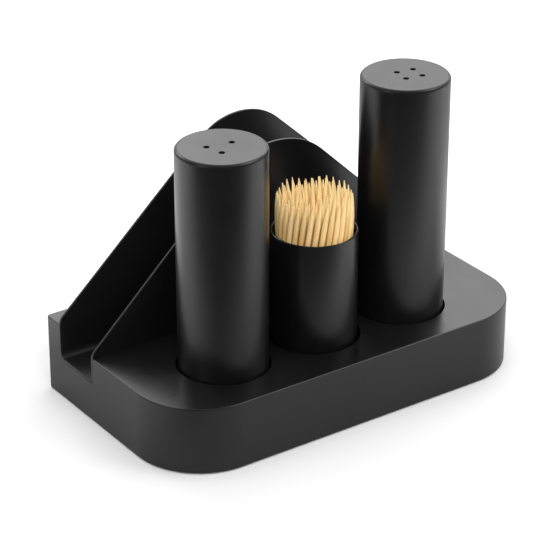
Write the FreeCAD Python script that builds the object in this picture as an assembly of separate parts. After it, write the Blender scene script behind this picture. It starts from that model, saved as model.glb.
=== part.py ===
import FreeCAD, Part
import math
import os

from FreeCAD import Vector

# Salt and pepper set with a toothpick cup and a napkin slot, in millimetres.
# X runs along the long side, -Y is the front, +Z is up and the table is z = 0.
# The origin is the centre of the base's outline, on the table.

# Base moulding
BASE_LENGTH = 146.4
BASE_WIDTH = 81.8
FRONT_CORNER_R = 24.2
REAR_CORNER_R = 1.5
DECK_Z = 24.0
REAR_WALL_Z = 27.6
SHELL_WALL = 2.5
EDGE_ROUND = 0.5

# Row of round sockets: its pitch is a share of the base, its gap is to the front plate's studs
ROW_SHIFT = -2.5
ROW_STUD_GAP = 3.0
PITCH_SHARE = 0.248
SOCKET_CLEARANCE = 0.8
SOCKET_DEPTH = 15.0
SOCKET_WALL = 1.6
RIB_THICKNESS = 1.6
RIB_DROP = 12.0

# Napkin slot and its two sheet plates
SLOT_CLEAR = 19.8
REAR_BLOCK = 8.2
SLOT_FLOOR_Z = 15.4
PLATE_THICKNESS = 1.0
PLATE_CORNER_RISE = 1.3
PLATE_RISE = 58.7
FRONT_APEX_R = 28.0
REAR_APEX_R = 23.0
PLATE_CORNER_R = 4.5
BEND_INNER_R = 2.5
FLANGE_GAP = 0.1

# Welded studs and their nuts
STUD_R = 1.5
STUD_HOLE_CLEARANCE = 0.2
STUD_TAIL = 0.6
STUD_SPACING = 41.0
NUT_FLATS = 5.5
NUT_THICKNESS = 2.4
THREAD_GAP = 0.02

# Underside cover, screws and feet
COVER_THICKNESS = 2.0
COVER_GAP = 0.15
BOSS_R = 3.2
SCREW_R = 1.3
SCREW_LENGTH = 7.0
SCREW_HEAD_R = 2.4
SCREW_HEAD = 1.1
SCREW_HOLE_CLEARANCE = 0.2
HEAD_RECESS_GAP = 0.1
CROSS_WIDTH = 0.7
CROSS_DEPTH = 0.6
CORNER_BOSS_INSET = 13.5
FRONT_BOSS_Y = 17.2
REAR_BOSS_INSET_X = 10.5
REAR_BOSS_INSET_Y = 20.0
FRONT_BOSS_INSET_Y = 7.0
FOOT_R = 5.0
FOOT_HEIGHT = 1.6
FOOT_RECESS = 1.0
FOOT_SIDE_GAP = 0.05
FOOT_EDGE_ROUND = 0.3
FOOT_INSET_X = 24.5
FOOT_INSET_Y = 12.2
REAR_FOOT_INSET_X = 18.5
REAR_FOOT_INSET_Y = 9.5

# Shakers
SHAKER_R = 15.0
SHAKER_WALL = 1.0
SHAKER_TOP = 1.2
SHAKER_EDGE_ROUND = 1.2
PEPPER_HEIGHT = 91.9
SALT_HEIGHT = 99.6
POUR_HOLE_R = 1.0
PEPPER_HOLE_RING = 4.7
PEPPER_HOLE_ANGLES = (12.0, 150.0, 238.0)
SALT_HOLE_RING = 4.3
SALT_HOLE_ANGLES = (37.0, 127.0, 217.0, 307.0)
SALT_HOLE_SHIFT_X = 1.2
SALT_HOLE_SHIFT_Y = -0.6
RING_RECESS = 2.0
RING_FLOOR = 2.5
RING_HEIGHT = 8.0
RING_SKIRT = 1.4
RING_PRESS_GAP = 0.02
FILLER_HOLE_R = 8.0
STOPPER_GAP = 0.05
STOPPER_HEAD_R = 10.0
STOPPER_HEAD = 1.5
STOPPER_PLUG = 4.5
STOPPER_HOLLOW_R = 5.0
STOPPER_HOLLOW = 3.0
STOPPER_BAR = 2.0
STOPPER_LEAD_IN = 0.6

# Toothpick cup and toothpicks
CUP_R = 14.6
CUP_HEIGHT = 53.7
CUP_WALL = 0.8
CUP_FLOOR = 1.2
CUP_RIM_ROUND = 0.35
CUP_FOOT_ROUND = 1.0
PICK_R = 1.0
PICK_LENGTH = 65.0
PICK_POINT = 7.5
PICK_TIP_R = 0.15
PICK_FLOOR_GAP = 0.1
PICK_WALL_GAP = 0.35
PICK_RING_STEP = 2.22
PICK_SPACING = 2.2
PICK_TWIST = 40.0
PICK_RAGGED = 1.6

# Levels and lines that follow from the sizes above
STAND_OFF = FOOT_HEIGHT - FOOT_RECESS
HALF_L = BASE_LENGTH / 2
HALF_W = BASE_WIDTH / 2
REAR_PLATE_FACE = HALF_W - REAR_BLOCK - PLATE_THICKNESS
FRONT_PLATE_FACE = REAR_PLATE_FACE - SLOT_CLEAR
CHANNEL_FRONT = FRONT_PLATE_FACE - PLATE_THICKNESS
CHANNEL_REAR = REAR_PLATE_FACE + PLATE_THICKNESS
FRONT_STUD_LENGTH = SHELL_WALL + NUT_THICKNESS + STUD_TAIL
SOCKET_X = [ROW_SHIFT + step * PITCH_SHARE * BASE_LENGTH for step in (-1, 0, 1)]
SOCKET_R = max(SHAKER_R, CUP_R) + SOCKET_CLEARANCE
ROW_Y = CHANNEL_FRONT - FRONT_STUD_LENGTH - ROW_STUD_GAP - SOCKET_WALL - SOCKET_R
SEAT_Z = DECK_Z - SOCKET_DEPTH
CHANNEL_FLOOR_Z = SLOT_FLOOR_Z - PLATE_THICKNESS
BEND_OUTER_R = BEND_INNER_R + PLATE_THICKNESS
COVER_TOP_Z = STAND_OFF + COVER_THICKNESS
CHANNEL_UNDER_Z = CHANNEL_FLOOR_Z - SHELL_WALL
DECK_UNDER_Z = DECK_Z - SHELL_WALL
RIB_X = [(SOCKET_X[i] + SOCKET_X[i + 1]) / 2 for i in (0, 1)]
STUD_X = [ROW_SHIFT + step * STUD_SPACING for step in (-1, 0, 1)]
FRONT_STUD_Z = (CHANNEL_FLOOR_Z + DECK_UNDER_Z) / 2
REAR_STUD_Y = (FRONT_PLATE_FACE + REAR_PLATE_FACE - BEND_INNER_R) / 2
PAST = 5.0


def outline(length, width, front_r, rear_r):
    """Closed wire round the origin: large corners at the front, small ones at the rear."""
    x, y = length / 2, width / 2
    corners = [(-x, -y, front_r, 180), (x, -y, front_r, 270), (x, y, rear_r, 0), (-x, y, rear_r, 90)]
    edges = []
    ends = []
    for cx, cy, r, start in corners:
        ox = cx - math.copysign(r, cx)
        oy = cy - math.copysign(r, cy)
        a, m, b = [
            Vector(ox + r * math.cos(math.radians(t)), oy + r * math.sin(math.radians(t)), 0)
            for t in (start, start + 45, start + 90)
        ]
        edges.append(Part.Arc(a, m, b).toShape())
        ends.append((a, b))
    for i, (a, b) in enumerate(ends):
        edges.append(Part.LineSegment(b, ends[(i + 1) % 4][0]).toShape())
    return Part.Wire(Part.__sortEdges__(edges))


def prism(wire, low, high):
    """Upright solid between two heights over a flat wire."""
    face = Part.Face(wire)
    face.translate(Vector(0, 0, low))
    return face.extrude(Vector(0, 0, high - low))


def block(x0, x1, y0, y1, z0, z1):
    return Part.makeBox(x1 - x0, y1 - y0, z1 - z0, Vector(x0, y0, z0))


def post(x, y, r, low, high):
    return Part.makeCylinder(r, high - low, Vector(x, y, low))


def edges_at(shape, z):
    """Edges of a shape that lie flat at one height."""
    return [e for e in shape.Edges if abs(e.BoundBox.ZMin - z) < 1e-6 and abs(e.BoundBox.ZMax - z) < 1e-6]


def one_solid(shape):
    return shape.removeSplitter().Solids[0]


def boss_places():
    """Screw bosses: the four corners and two between the sockets at the front."""
    front_x = HALF_L - CORNER_BOSS_INSET
    rear_x = HALF_L - REAR_BOSS_INSET_X
    places = [(side * front_x, FRONT_BOSS_Y - HALF_W) for side in (-1, 1)]
    places += [(side * rear_x, HALF_W - REAR_BOSS_INSET_Y) for side in (-1, 1)]
    places += [(x, FRONT_BOSS_INSET_Y - HALF_W) for x in RIB_X]
    return places


def foot_places():
    front = [(side * (HALF_L - FOOT_INSET_X), FOOT_INSET_Y - HALF_W) for side in (-1, 1)]
    rear = [(side * (HALF_L - REAR_FOOT_INSET_X), HALF_W - REAR_FOOT_INSET_Y) for side in (-1, 1)]
    return front + rear


def channel():
    """The napkin channel, past both ends and the top, with the sheet's bend in its rear corner."""
    r = BEND_OUTER_R
    top = REAR_WALL_Z + PAST
    x = -HALF_L - PAST
    a = Vector(x, CHANNEL_FRONT, top)
    b = Vector(x, CHANNEL_FRONT, CHANNEL_FLOOR_Z)
    c = Vector(x, CHANNEL_REAR - r, CHANNEL_FLOOR_Z)
    half = r * math.sqrt(0.5)
    m = Vector(x, CHANNEL_REAR - r + half, CHANNEL_FLOOR_Z + r - half)
    d = Vector(x, CHANNEL_REAR, CHANNEL_FLOOR_Z + r)
    e = Vector(x, CHANNEL_REAR, top)
    edges = [Part.LineSegment(a, b).toShape(), Part.LineSegment(b, c).toShape(), Part.Arc(c, m, d).toShape()]
    edges += [Part.LineSegment(d, e).toShape(), Part.LineSegment(e, a).toShape()]
    return Part.Face(Part.Wire(edges)).extrude(Vector(BASE_LENGTH + 2 * PAST, 0, 0))


def base_outside():
    """Outer form: the low deck, the higher rear wall and the channel between them."""
    wire = outline(BASE_LENGTH, BASE_WIDTH, FRONT_CORNER_R, REAR_CORNER_R)
    parts = []
    for top, y0, y1 in ((DECK_Z, -HALF_W, CHANNEL_FRONT), (REAR_WALL_Z, CHANNEL_FRONT, HALF_W)):
        solid = prism(wire, STAND_OFF, top)
        solid = solid.makeFillet(EDGE_ROUND, edges_at(solid, top))
        parts.append(solid.common(block(-HALF_L, HALF_L, y0, y1, STAND_OFF, top)))
    return parts[0].fuse(parts[1]).removeSplitter().cut(channel())


def base_hollow():
    """The space inside the moulding, open underneath, less the sockets, ribs and bosses."""
    w = SHELL_WALL
    wire = outline(BASE_LENGTH - 2 * w, BASE_WIDTH - 2 * w, FRONT_CORNER_R - w, max(REAR_CORNER_R - w, 0.5))
    low = STAND_OFF - PAST
    front = prism(wire, low, DECK_UNDER_Z)
    front = front.common(block(-HALF_L, HALF_L, -HALF_W, CHANNEL_FRONT - w, low, DECK_UNDER_Z))
    rear = prism(wire, low, REAR_WALL_Z - w)
    rear = rear.common(block(-HALF_L, HALF_L, CHANNEL_REAR + w, HALF_W, low, REAR_WALL_Z - w))
    space = prism(wire, low, CHANNEL_UNDER_Z).fuse([front, rear])
    solids = [post(x, ROW_Y, SOCKET_R + SOCKET_WALL, SEAT_Z - SOCKET_WALL, DECK_Z) for x in SOCKET_X]
    solids += [post(x, y, BOSS_R, COVER_TOP_Z, DECK_Z) for x, y in boss_places()]
    half = RIB_THICKNESS / 2
    rib_low = DECK_UNDER_Z - RIB_DROP
    solids += [block(x - half, x + half, -HALF_W, CHANNEL_FRONT, rib_low, DECK_Z) for x in RIB_X]
    return space.cut(solids)


def base_shell():
    shell = base_outside().cut(base_hollow())
    cuts = [post(x, ROW_Y, SOCKET_R, SEAT_Z, DECK_Z + PAST) for x in SOCKET_X]
    pilot_top = STAND_OFF + HEAD_RECESS_GAP + SCREW_HEAD + SCREW_LENGTH + HEAD_RECESS_GAP
    cuts += [post(x, y, SCREW_R + THREAD_GAP, STAND_OFF, pilot_top) for x, y in boss_places()]
    hole_r = STUD_R + STUD_HOLE_CLEARANCE
    for x in STUD_X:
        wall = Part.makeCylinder(
            hole_r, SHELL_WALL, Vector(x, CHANNEL_FRONT - SHELL_WALL, FRONT_STUD_Z), Vector(0, 1, 0)
        )
        cuts.append(wall)
        cuts.append(post(x, REAR_STUD_Y, hole_r, CHANNEL_UNDER_Z, CHANNEL_FLOOR_Z))
    return one_solid(shell.cut(cuts))


def base_cover():
    inset = SHELL_WALL + COVER_GAP
    wire = outline(
        BASE_LENGTH - 2 * inset,
        BASE_WIDTH - 2 * inset,
        FRONT_CORNER_R - inset,
        max(REAR_CORNER_R - inset, 0.5),
    )
    plate = prism(wire, STAND_OFF, COVER_TOP_Z)
    head_r = SCREW_HEAD_R + SCREW_HOLE_CLEARANCE
    head_top = STAND_OFF + HEAD_RECESS_GAP + SCREW_HEAD
    cuts = []
    for x, y in boss_places():
        cuts.append(post(x, y, SCREW_R + SCREW_HOLE_CLEARANCE, STAND_OFF, COVER_TOP_Z))
        cuts.append(post(x, y, head_r, STAND_OFF, head_top))
    for x, y in foot_places():
        cuts.append(post(x, y, FOOT_R + FOOT_SIDE_GAP, STAND_OFF, STAND_OFF + FOOT_RECESS))
    return one_solid(plate.cut(cuts))


def cover_screw(x, y):
    """Pan-head screw from below, its head sunk in the cover."""
    low = STAND_OFF + HEAD_RECESS_GAP
    head = post(x, y, SCREW_HEAD_R, low, low + SCREW_HEAD)
    shank = post(x, y, SCREW_R, low + SCREW_HEAD, low + SCREW_HEAD + SCREW_LENGTH)
    screw = head.fuse(shank)
    reach, half = SCREW_HEAD_R * 0.7, CROSS_WIDTH / 2
    slots = [
        block(x - reach, x + reach, y - half, y + half, low, low + CROSS_DEPTH),
        block(x - half, x + half, y - reach, y + reach, low, low + CROSS_DEPTH),
    ]
    return one_solid(screw.cut(slots))


def foot(x, y):
    pad = post(x, y, FOOT_R, 0, FOOT_HEIGHT)
    return pad.makeFillet(FOOT_EDGE_ROUND, edges_at(pad, 0))


def plate_face(bottom, corner, apex_r, y):
    """Upright sheet outline at one depth: square ends, sloping shoulders and a round apex."""
    drop = PLATE_RISE - apex_r
    centre = corner + drop
    slope = math.atan2(drop, HALF_L) + math.asin(apex_r / math.hypot(HALF_L, drop))
    run = PLATE_CORNER_R * math.tan((math.pi / 2 - slope) / 2)
    turn = math.pi * 0.75 + slope / 2
    foot_left = Vector(-HALF_L, y, bottom)
    start = Vector(-HALF_L, y, corner - run)
    rounded = Vector(
        -HALF_L + PLATE_CORNER_R * (1 + math.cos(turn)), y, corner - run + PLATE_CORNER_R * math.sin(turn)
    )
    end = Vector(-HALF_L + run * math.cos(slope), y, corner + run * math.sin(slope))
    shoulder = Vector(-apex_r * math.sin(slope), y, centre + apex_r * math.cos(slope))
    apex = Vector(0, y, corner + PLATE_RISE)

    def mirror(p):
        return Vector(-p.x, p.y, p.z)

    edges = [
        Part.LineSegment(foot_left, start).toShape(),
        Part.Arc(start, rounded, end).toShape(),
        Part.LineSegment(end, shoulder).toShape(),
        Part.Arc(shoulder, apex, mirror(shoulder)).toShape(),
        Part.LineSegment(mirror(shoulder), mirror(end)).toShape(),
        Part.Arc(mirror(end), mirror(rounded), mirror(start)).toShape(),
        Part.LineSegment(mirror(start), mirror(foot_left)).toShape(),
        Part.LineSegment(mirror(foot_left), foot_left).toShape(),
    ]
    return Part.Face(Part.Wire(edges))


def front_plate():
    """Flat sheet on the channel's near wall, with three welded studs towards the front."""
    sheet = plate_face(CHANNEL_FLOOR_Z, DECK_Z + PLATE_CORNER_RISE, FRONT_APEX_R, CHANNEL_FRONT)
    sheet = sheet.extrude(Vector(0, PLATE_THICKNESS, 0))
    studs = [
        Part.makeCylinder(STUD_R, FRONT_STUD_LENGTH, Vector(x, CHANNEL_FRONT, FRONT_STUD_Z), Vector(0, -1, 0))
        for x in STUD_X
    ]
    return one_solid(sheet.fuse(studs))


def rear_plate():
    """Sheet on the channel's rear wall, bent forward at the foot to line the slot's floor."""
    r = BEND_INNER_R
    bend_y, bend_z = REAR_PLATE_FACE - r, SLOT_FLOOR_Z + r
    sheet = plate_face(bend_z, REAR_WALL_Z + PLATE_CORNER_RISE, REAR_APEX_R, REAR_PLATE_FACE)
    sheet = sheet.extrude(Vector(0, PLATE_THICKNESS, 0))
    flange = block(
        -HALF_L, HALF_L, FRONT_PLATE_FACE + FLANGE_GAP, bend_y, CHANNEL_FLOOR_Z, SLOT_FLOOR_Z
    )
    centre = Vector(-HALF_L, bend_y, bend_z)
    along = Vector(1, 0, 0)
    bend = Part.makeCylinder(BEND_OUTER_R, BASE_LENGTH, centre, along)
    bend = bend.cut(Part.makeCylinder(r, BASE_LENGTH, centre, along))
    bend = bend.common(block(-HALF_L, HALF_L, bend_y, CHANNEL_REAR, CHANNEL_FLOOR_Z, bend_z))
    low = CHANNEL_UNDER_Z - NUT_THICKNESS - STUD_TAIL
    studs = [post(x, REAR_STUD_Y, STUD_R, low, SLOT_FLOOR_Z) for x in STUD_X]
    return one_solid(sheet.fuse([bend, flange] + studs))


def nut(centre, axis):
    """Hexagon nut whose face starts at a point and grows along an axis."""
    reach = NUT_FLATS / math.sqrt(3)
    turn = FreeCAD.Rotation(Vector(0, 0, 1), axis)
    points = [
        Vector(reach * math.cos(math.radians(60 * i)), reach * math.sin(math.radians(60 * i)), 0)
        for i in range(7)
    ]
    body = Part.Face(Part.makePolygon(points)).extrude(Vector(0, 0, NUT_THICKNESS))
    body = body.cut(Part.makeCylinder(STUD_R + THREAD_GAP, NUT_THICKNESS))
    body.Placement = FreeCAD.Placement(centre, turn)
    return body


def front_plate_nuts():
    y = CHANNEL_FRONT - SHELL_WALL
    return Part.makeCompound([nut(Vector(x, y, FRONT_STUD_Z), Vector(0, -1, 0)) for x in STUD_X])


def rear_plate_nuts():
    z = CHANNEL_UNDER_Z
    return Part.makeCompound([nut(Vector(x, REAR_STUD_Y, z), Vector(0, 0, -1)) for x in STUD_X])


def shaker_body(x, height, holes):
    """Drawn tube with a closed top: rounded edge and pouring holes, open underneath."""
    top = SEAT_Z + height
    body = post(x, ROW_Y, SHAKER_R, SEAT_Z, top)
    body = body.makeFillet(SHAKER_EDGE_ROUND, edges_at(body, top))
    body = body.cut(post(x, ROW_Y, SHAKER_R - SHAKER_WALL, SEAT_Z, top - SHAKER_TOP))
    return one_solid(body.cut([post(x + hx, ROW_Y + hy, POUR_HOLE_R, SEAT_Z, top) for hx, hy in holes]))


def on_ring(radius, angles, dx=0.0, dy=0.0):
    """Points on a circle, shifted from its centre."""
    turns = [math.radians(a) for a in angles]
    return [(dx + radius * math.cos(t), dy + radius * math.sin(t)) for t in turns]


def shaker_ring(x):
    """Plastic ring pressed into the tube's foot, with the filler hole in its floor."""
    low = SEAT_Z + RING_RECESS
    outer = SHAKER_R - SHAKER_WALL - RING_PRESS_GAP
    ring = post(x, ROW_Y, outer, low, low + RING_HEIGHT)
    ring = ring.cut(post(x, ROW_Y, outer - RING_SKIRT, low + RING_FLOOR, low + RING_HEIGHT))
    return one_solid(ring.cut(post(x, ROW_Y, FILLER_HOLE_R, low, low + RING_FLOOR)))


def shaker_stopper(x):
    """Soft stopper: a wide head under the ring, a plug in the filler hole and a finger bar."""
    low = SEAT_Z + RING_RECESS
    head = post(x, ROW_Y, STOPPER_HEAD_R, low - STOPPER_HEAD, low)
    plug = post(x, ROW_Y, FILLER_HOLE_R - STOPPER_GAP, low, low + STOPPER_PLUG)
    plug = plug.makeChamfer(STOPPER_LEAD_IN, edges_at(plug, low + STOPPER_PLUG))
    hollow = post(x, ROW_Y, STOPPER_HOLLOW_R, low - STOPPER_HEAD, low - STOPPER_HEAD + STOPPER_HOLLOW)
    half = STOPPER_BAR / 2
    bar = block(
        x - STOPPER_HOLLOW_R, x + STOPPER_HOLLOW_R, ROW_Y - half, ROW_Y + half, low - STOPPER_HEAD, low
    )
    return one_solid(head.fuse(plug).cut(hollow.cut(bar)))


def toothpick_cup():
    x = SOCKET_X[1]
    cup = post(x, ROW_Y, CUP_R, SEAT_Z, SEAT_Z + CUP_HEIGHT)
    cup = cup.makeFillet(CUP_FOOT_ROUND, edges_at(cup, SEAT_Z))
    cup = cup.cut(post(x, ROW_Y, CUP_R - CUP_WALL, SEAT_Z + CUP_FLOOR, SEAT_Z + CUP_HEIGHT))
    return one_solid(cup.makeFillet(CUP_RIM_ROUND, edges_at(cup, SEAT_Z + CUP_HEIGHT)))


def toothpick(low, high):
    """Round stick between two points, with a long point at each end."""
    way = high - low
    length = way.Length
    way.normalize()
    along = [low + way * s for s in (0, PICK_POINT, length - PICK_POINT)]
    shaft = Part.makeCylinder(PICK_R, length - 2 * PICK_POINT, along[1], way)
    point = Part.makeCone(PICK_TIP_R, PICK_R, PICK_POINT, along[0], way)
    tip = Part.makeCone(PICK_R, PICK_TIP_R, PICK_POINT, along[2], way)
    return one_solid(shaft.fuse([point, tip]))


def toothpicks():
    """Rings of sticks standing in the cup, every ring twisted alike so that no two meet."""
    x = SOCKET_X[1]
    floor = SEAT_Z + CUP_FLOOR + PICK_FLOOR_GAP
    half_twist = math.radians(PICK_TWIST / 2)
    radius = CUP_R - CUP_WALL - PICK_WALL_GAP - PICK_R
    sticks = []
    while radius > PICK_R:
        waist = radius * math.cos(half_twist)
        lean = math.atan2(2 * radius * math.sin(half_twist), PICK_LENGTH)
        count = int(2 * math.pi * waist * math.cos(lean) / PICK_SPACING)
        tall = math.sqrt(PICK_LENGTH**2 - (2 * radius * math.sin(half_twist)) ** 2)
        for i in range(count):
            turn = 2 * math.pi * i / count + radius
            low, high = [
                Vector(x + radius * math.cos(turn + t), ROW_Y + radius * math.sin(turn + t), floor + h)
                for t, h in ((-half_twist, 0), (half_twist, tall))
            ]
            slide = (high - low) * (PICK_RAGGED / PICK_LENGTH * (0.5 + 0.5 * math.sin(7.3 * len(sticks))))
            sticks.append(toothpick(low + slide, high + slide))
        radius -= PICK_RING_STEP
    return Part.makeCompound(sticks)


def save(name, shape):
    shape.exportStep("parts/" + name + ".step")
    print(name, len(shape.Solids), "solid", shape.isValid(), round(shape.Volume / 1000, 2), "cm3")


def main():
    os.makedirs("parts", exist_ok=True)
    save("base_shell", base_shell())
    save("base_cover", base_cover())
    save("cover_screws", Part.makeCompound([cover_screw(x, y) for x, y in boss_places()]))
    names = ("front_left_foot", "front_right_foot", "rear_left_foot", "rear_right_foot")
    for name, (x, y) in zip(names, foot_places()):
        save(name, foot(x, y))
    save("front_plate", front_plate())
    save("front_plate_nuts", front_plate_nuts())
    save("rear_plate", rear_plate())
    save("rear_plate_nuts", rear_plate_nuts())
    pepper_holes = on_ring(PEPPER_HOLE_RING, PEPPER_HOLE_ANGLES)
    salt_holes = on_ring(SALT_HOLE_RING, SALT_HOLE_ANGLES, SALT_HOLE_SHIFT_X, SALT_HOLE_SHIFT_Y)
    shakers = (
        ("pepper", SOCKET_X[0], PEPPER_HEIGHT, pepper_holes),
        ("salt", SOCKET_X[2], SALT_HEIGHT, salt_holes),
    )
    for name, x, height, holes in shakers:
        save(name + "_shaker_body", shaker_body(x, height, holes))
        save(name + "_base_ring", shaker_ring(x))
        save(name + "_stopper", shaker_stopper(x))
    save("toothpick_cup", toothpick_cup())
    save("toothpicks", toothpicks())


main()
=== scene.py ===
"""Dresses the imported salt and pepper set: its finishes, its fine shapes, the light and the camera.

The set is a moulded black base with three round sockets and a napkin slot, two
sheet plates that hold the napkins, two shakers and a cup of wooden toothpicks.
Everything is in metres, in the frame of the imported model.
"""

import logging
import math
from dataclasses import dataclass, field
from enum import Enum
from typing import Callable, Iterator, Sequence

import bmesh
import bpy
from mathutils import Matrix, Vector

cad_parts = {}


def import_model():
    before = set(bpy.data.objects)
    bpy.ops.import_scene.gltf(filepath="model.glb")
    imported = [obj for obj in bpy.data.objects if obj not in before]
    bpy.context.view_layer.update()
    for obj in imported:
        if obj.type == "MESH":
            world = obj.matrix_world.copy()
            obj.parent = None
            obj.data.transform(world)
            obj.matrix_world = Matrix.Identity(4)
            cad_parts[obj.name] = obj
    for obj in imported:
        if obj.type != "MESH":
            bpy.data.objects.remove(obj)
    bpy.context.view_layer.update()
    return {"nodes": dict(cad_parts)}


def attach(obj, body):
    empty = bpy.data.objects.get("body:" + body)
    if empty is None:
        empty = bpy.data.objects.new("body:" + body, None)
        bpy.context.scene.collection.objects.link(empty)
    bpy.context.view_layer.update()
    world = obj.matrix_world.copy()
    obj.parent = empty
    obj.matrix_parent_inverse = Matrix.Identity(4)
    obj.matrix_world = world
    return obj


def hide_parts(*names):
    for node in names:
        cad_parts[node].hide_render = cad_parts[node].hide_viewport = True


LOG = logging.getLogger("table_set")
MM = 0.001

Point = tuple[float, float, float]
Span = tuple[float, float]
Piece = bpy.types.Object
Tree = bpy.types.ShaderNodeTree
Socket = bpy.types.NodeSocket
Element = bmesh.types.BMVert | bmesh.types.BMEdge | bmesh.types.BMFace

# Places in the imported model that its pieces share

SEAT_Z = 9.0 * MM
ROW_Y = -15.0 * MM
PEPPER_X = -38.8072 * MM
CUP_X = -2.5 * MM
SALT_X = 33.8072 * MM
SLOT_FRONT_Y = 11.9 * MM
SLOT_REAR_Y = 31.7 * MM
STUD_X = [CUP_X + step * 41.0 * MM for step in (-1, 0, 1)]

# Modelling limits

SAME = 1e-6
NEARLY_SAME = 1e-5
ONE_RING = 0.1 * MM
FACING = 0.9
ARC = 0.5
FINE_SIDES = 128

# Ranges in the finishes

ALL = (0.0, 1.0)
MOST_NOISE = (0.3, 0.7)


# Modelling helpers


def drop_selection() -> None:
    """Leaves edit mode and deselects every object."""
    if bpy.context.object is not None and bpy.context.object.mode != "OBJECT":
        bpy.ops.object.mode_set(mode="OBJECT")
    bpy.ops.object.select_all(action="DESELECT")


def activate(piece: Piece) -> None:
    """Makes one object the only selected and the active one.

    Args:
        piece: The object.
    """
    drop_selection()
    piece.select_set(True)
    bpy.context.view_layer.objects.active = piece


def edit(piece: Piece) -> None:
    """Enters edit mode on a piece with nothing selected.

    Args:
        piece: The mesh object to shape.
    """
    activate(piece)
    bpy.ops.object.mode_set(mode="EDIT")
    bpy.ops.mesh.select_mode(type="VERT")
    bpy.ops.mesh.select_all(action="DESELECT")


def leave_edit() -> None:
    """Goes back to object mode."""
    bpy.ops.object.mode_set(mode="OBJECT")


def pick(piece: Piece, kind: str, wanted: Callable[[Element], bool]) -> None:
    """Selects what passes a test on the piece in edit mode, and nothing else.

    Args:
        piece: The mesh object, in edit mode.
        kind: What is picked: "VERT", "EDGE" or "FACE".
        wanted: Says of a vertex, an edge or a face whether it is picked.
    """
    bpy.ops.mesh.select_mode(type=kind)
    bpy.ops.mesh.select_all(action="DESELECT")
    mesh = bmesh.from_edit_mesh(piece.data)
    for element in {"VERT": mesh.verts, "EDGE": mesh.edges, "FACE": mesh.faces}[kind]:
        if wanted(element):
            element.select_set(True)
    mesh.select_flush_mode()
    bmesh.update_edit_mesh(piece.data)


def level(edge: bmesh.types.BMEdge, height: float, within: float = SAME) -> bool:
    """Says whether an edge lies flat at a height.

    Args:
        edge: The edge.
        height: The height.
        within: How far an end may be off.

    Returns:
        True when both its ends are at that height.
    """
    return all(abs(vert.co.z - height) < within for vert in edge.verts)


def reaches(edge: bmesh.types.BMEdge, x: float, y: float) -> list[float]:
    """Gives how far the ends of an edge are from an upright axis.

    Args:
        edge: The edge.
        x: The axis along X.
        y: The axis along Y.

    Returns:
        The two distances.
    """
    return [math.hypot(vert.co.x - x, vert.co.y - y) for vert in edge.verts]


def runs_round(edge: bmesh.types.BMEdge, x: float, y: float) -> bool:
    """Says whether an edge runs round an upright axis rather than towards it.

    Args:
        edge: The edge.
        x: The axis along X.
        y: The axis along Y.

    Returns:
        True when both its ends are equally far from the axis.
    """
    first, second = reaches(edge, x, y)
    return abs(first - second) < ONE_RING


def ease(width: float, segments: int) -> None:
    """Rounds the selected edges of the piece in edit mode.

    Args:
        width: How far the round reaches from the edge.
        segments: How many flats it has.
    """
    bpy.ops.mesh.bevel(offset=width, segments=segments, profile=ARC, affect="EDGES")


def round_corners(run: float, segments: int) -> None:
    """Rounds the selected corners of a flat sheet in edit mode.

    Args:
        run: How far the round reaches along each side.
        segments: How many flats it has.
    """
    bpy.ops.mesh.bevel(
        offset=run, segments=segments, profile=ARC, affect="VERTICES", offset_type="ABSOLUTE"
    )


def settle(piece: Piece) -> None:
    """Puts the piece's place into its mesh, so that the object sits at the origin.

    Args:
        piece: The mesh object.
    """
    activate(piece)
    bpy.ops.object.transform_apply(location=True, rotation=True, scale=True)


def apply_modifiers(piece: Piece) -> None:
    """Applies every modifier of a piece, in order.

    Args:
        piece: The mesh object.
    """
    activate(piece)
    for name in [modifier.name for modifier in piece.modifiers]:
        bpy.ops.object.modifier_apply(modifier=name)


def smooth(piece: Piece, angle_deg: float) -> None:
    """Shades a piece smooth, with sharp edges past an angle.

    Args:
        piece: The mesh object.
        angle_deg: The angle between two faces past which their edge stays sharp.
    """
    activate(piece)
    bpy.ops.object.shade_smooth_by_angle(angle=math.radians(angle_deg))


def thicken(sheet: Piece, thickness: float, side: float, even: bool = False) -> None:
    """Makes an open sheet a closed wall with its faces outwards.

    Args:
        sheet: The open sheet.
        thickness: The wall's thickness.
        side: 1 to grow along the sheet's normals, -1 to grow against them.
        even: Whether the wall keeps its thickness round bends.
    """
    wall = sheet.modifiers.new("wall", "SOLIDIFY")
    wall.thickness = thickness
    wall.offset = side
    wall.use_even_offset = even
    apply_modifiers(sheet)
    edit(sheet)
    bpy.ops.mesh.select_all(action="SELECT")
    bpy.ops.mesh.normals_make_consistent(inside=False)
    leave_edit()


def join(pieces: Sequence[Piece], name: str) -> Piece:
    """Joins objects into the first one and names it.

    Args:
        pieces: The objects; the first one stays.
        name: The name of the joined piece.

    Returns:
        The joined object.
    """
    activate(pieces[0])
    for piece in pieces[1:]:
        piece.select_set(True)
    bpy.ops.object.join()
    return rename(pieces[0], name)


def rename(piece: Piece, name: str) -> Piece:
    """Names an object and its mesh alike.

    Args:
        piece: The object.
        name: Its new name.

    Returns:
        The same object.
    """
    piece.name = name
    piece.data.name = name
    return piece


def drum(radius: float, low: float, high: float, x: float, y: float, sides: int) -> Piece:
    """Adds an upright cylinder between two heights.

    Args:
        radius: Its radius.
        low: The height of its foot.
        high: The height of its top.
        x: Its axis along X.
        y: Its axis along Y.
        sides: How many sides it has.

    Returns:
        The new object, settled at the origin.
    """
    drop_selection()
    bpy.ops.mesh.primitive_cylinder_add(
        vertices=sides,
        radius=radius,
        depth=high - low,
        end_fill_type="NGON",
        location=(x, y, (low + high) / 2),
    )
    made = bpy.context.object
    settle(made)
    return made


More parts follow.
